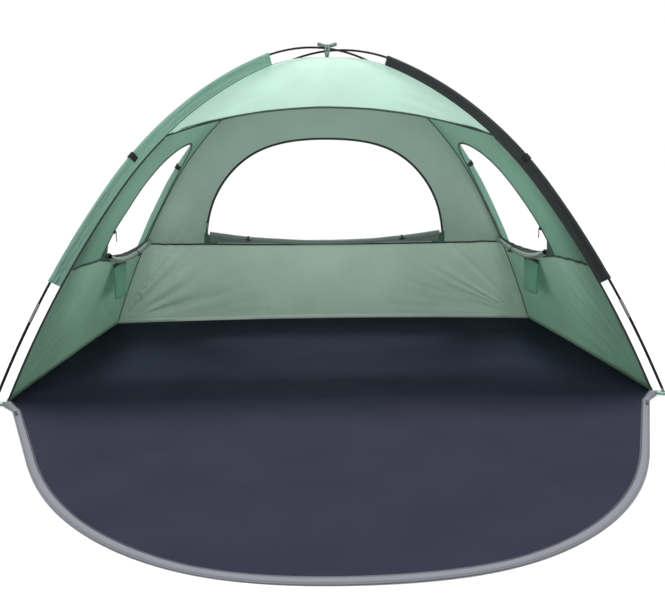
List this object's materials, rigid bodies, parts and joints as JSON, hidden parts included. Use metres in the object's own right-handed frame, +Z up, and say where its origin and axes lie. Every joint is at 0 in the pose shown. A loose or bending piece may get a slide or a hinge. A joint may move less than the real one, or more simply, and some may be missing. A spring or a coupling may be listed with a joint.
{
  "type": "beach shelter",
  "caption": "Half-dome beach and camp shelter on crossing sleeved poles, with windows, awning and a fold-down zip porch floor.",
  "frame": {"origin": "on the ground in the middle of the rectangular floor, under the crossing of the poles", "axes": "+X to the right of someone looking in through the doorway, +Y towards the rear wall, +Z up"},
  "size_m": [2.385, 2.463, 1.2789],
  "materials": {
    "wall_fabric": "coated polyester, satin",
    "awning_fabric": "coated polyester, satin",
    "sleeve_green": "woven polyester",
    "sleeve_grey": "woven polyester",
    "floor_fabric": "coated groundsheet",
    "porch_fabric": "coated groundsheet",
    "zip_tape_grey": "woven tape",
    "binding_black": "woven tape",
    "cover_fabric": "coated polyester, silvery",
    "webbing_black": "webbing",
    "toggle_plastic": "moulded",
    "pocket_fabric": "mesh",
    "tie_tape": "tape",
    "webbing_mint": "webbing",
    "eyelet_metal": "pressed eyelet",
    "ring_metal": "black",
    "ferrule_steel": "drawn tube",
    "tip_metal": "turned",
    "pole_fibreglass": "black fibreglass",
    "zip_metal": "grey"
  },
  "bodies": {
    "shelter": {"awning_hem_binding": "binding_black", "corner_eyelets": "eyelet_metal", "corner_webbing_tabs": "webbing_mint", "cover_tie_loops": "webbing_black", "crown_tie": "tie_tape", "doorway_zip_tapes": "binding_black", "floor_panel": "floor_fabric", "front_awning": "awning_fabric", "left_pole_crown_section": "pole_fibreglass", "left_pole_front_foot_section": "pole_fibreglass", "left_pole_front_lower_section": "pole_fibreglass", "left_pole_front_upper_section": "pole_fibreglass", "left_pole_rear_foot_section": "pole_fibreglass", "left_pole_rear_lower_section": "pole_fibreglass", "left_pole_rear_upper_section": "pole_fibreglass", "pole_ferrules": "ferrule_steel", "pole_sleeve_front_left": "sleeve_green", "pole_sleeve_front_right": "sleeve_grey", "pole_sleeve_rear_left": "sleeve_green", "pole_sleeve_rear_right": "sleeve_green", "pole_tips": "tip_metal", "rear_wall_lower": "wall_fabric", "rear_wall_upper": "wall_fabric", "right_pole_crown_section": "pole_fibreglass", "right_pole_front_foot_section": "pole_fibreglass", "right_pole_front_lower_section": "pole_fibreglass", "right_pole_front_upper_section": "pole_fibreglass", "right_pole_rear_foot_section": "pole_fibreglass", "right_pole_rear_lower_section": "pole_fibreglass", "right_pole_rear_upper_section": "pole_fibreglass", "rolled_window_cover_left": "cover_fabric", "rolled_window_cover_rear": "cover_fabric", "rolled_window_cover_right": "cover_fabric", "side_pocket_left": "pocket_fabric", "side_pocket_right": "pocket_fabric", "side_wall_lower_left": "wall_fabric", "side_wall_lower_right": "wall_fabric", "side_wall_upper_left": "wall_fabric", "side_wall_upper_right": "wall_fabric", "sleeve_webbing_loops": "webbing_black", "window_zip_sliders": "zip_metal", "window_zip_tape_left": "binding_black", "window_zip_tape_rear": "binding_black", "window_zip_tape_right": "binding_black"},
    "porch": {"porch_mat": "porch_fabric", "porch_zip_tape": "zip_tape_grey", "porch_zip_sliders": "zip_metal"},
    "porch_pull_left": {"porch_zip_pull_left": "zip_metal"},
    "porch_pull_right": {"porch_zip_pull_right": "zip_metal"},
    "window_pull_rear": {"window_zip_pull_rear": "zip_metal"},
    "window_pull_left": {"window_zip_pull_left": "zip_metal"},
    "window_pull_right": {"window_zip_pull_right": "zip_metal"},
    "toggle_rear_left_body": {"toggle_rear_left": "toggle_plastic"},
    "toggle_rear_right_body": {"toggle_rear_right": "toggle_plastic"},
    "toggle_left_body": {"toggle_left": "toggle_plastic"},
    "toggle_right_body": {"toggle_right": "toggle_plastic"},
    "peg_ring_front_left_body": {"peg_ring_front_left": "ring_metal"},
    "peg_ring_front_right_body": {"peg_ring_front_right": "ring_metal"},
    "peg_ring_rear_left_body": {"peg_ring_rear_left": "ring_metal"},
    "peg_ring_rear_right_body": {"peg_ring_rear_right": "ring_metal"}
  },
  "joints": [
    {"name": "porch_fold", "type": "hinge", "parent": "shelter", "child": "porch", "pos_m": [0, -0.66025, 0.002], "axis": [-1, 0, 0], "range_deg": [0, 100]},
    {"name": "porch_pull_left_turn", "type": "hinge", "parent": "porch", "child": "porch_pull_left", "pos_m": [-1.02329, -0.76271, 0.0087], "axis": [-0.8888, -0.4583, 0], "range_deg": [0, 170]},
    {"name": "porch_pull_right_turn", "type": "hinge", "parent": "porch", "child": "porch_pull_right", "pos_m": [1.02329, -0.76271, 0.0087], "axis": [-0.8888, 0.4583, 0], "range_deg": [0, 170]},
    {"name": "window_pull_rear_turn", "type": "hinge", "parent": "shelter", "child": "window_pull_rear", "pos_m": [-0.583, 0.49617, 0.53765], "axis": [-1, 0, 0], "range_deg": [-15, 140]},
    {"name": "window_pull_left_turn", "type": "hinge", "parent": "shelter", "child": "window_pull_left", "pos_m": [-0.83199, -0.203, 0.53641], "axis": [0, -1, 0], "range_deg": [-15, 140]},
    {"name": "window_pull_right_turn", "type": "hinge", "parent": "shelter", "child": "window_pull_right", "pos_m": [0.83199, -0.203, 0.53641], "axis": [0, 1, 0], "range_deg": [-15, 140]},
    {"name": "toggle_rear_left_turn", "type": "hinge", "parent": "shelter", "child": "toggle_rear_left_body", "pos_m": [-0.385, 0.49746, 0.45042], "axis": [0, -0.9496, -0.3134], "range_deg": [-90, 90]},
    {"name": "toggle_rear_right_turn", "type": "hinge", "parent": "shelter", "child": "toggle_rear_right_body", "pos_m": [0.385, 0.49746, 0.45042], "axis": [0, -0.9496, -0.3134], "range_deg": [-90, 90]},
    {"name": "toggle_left_turn", "type": "hinge", "parent": "shelter", "child": "toggle_left_body", "pos_m": [-0.87757, 0.322, 0.39992], "axis": [0.8811, 0, -0.473], "range_deg": [-90, 90]},
    {"name": "toggle_right_turn", "type": "hinge", "parent": "shelter", "child": "toggle_right_body", "pos_m": [0.87757, 0.322, 0.39992], "axis": [-0.8811, 0, -0.473], "range_deg": [-90, 90]},
    {"name": "peg_ring_front_left_lift", "type": "hinge", "parent": "shelter", "child": "peg_ring_front_left_body", "pos_m": [-1.15831, -0.69499, 0.0036], "axis": [-0.5145, 0.8575, 0], "range_deg": [0, 120]},
    {"name": "peg_ring_front_right_lift", "type": "hinge", "parent": "shelter", "child": "peg_ring_front_right_body", "pos_m": [1.15831, -0.69499, 0.0036], "axis": [-0.5145, -0.8575, 0], "range_deg": [0, 120]},
    {"name": "peg_ring_rear_left_lift", "type": "hinge", "parent": "shelter", "child": "peg_ring_rear_left_body", "pos_m": [-1.15831, 0.69499, 0.0036], "axis": [0.5145, 0.8575, 0], "range_deg": [0, 120]},
    {"name": "peg_ring_rear_right_lift", "type": "hinge", "parent": "shelter", "child": "peg_ring_rear_right_body", "pos_m": [1.15831, 0.69499, 0.0036], "axis": [0.5145, -0.8575, 0], "range_deg": [0, 120]}
  ]
}
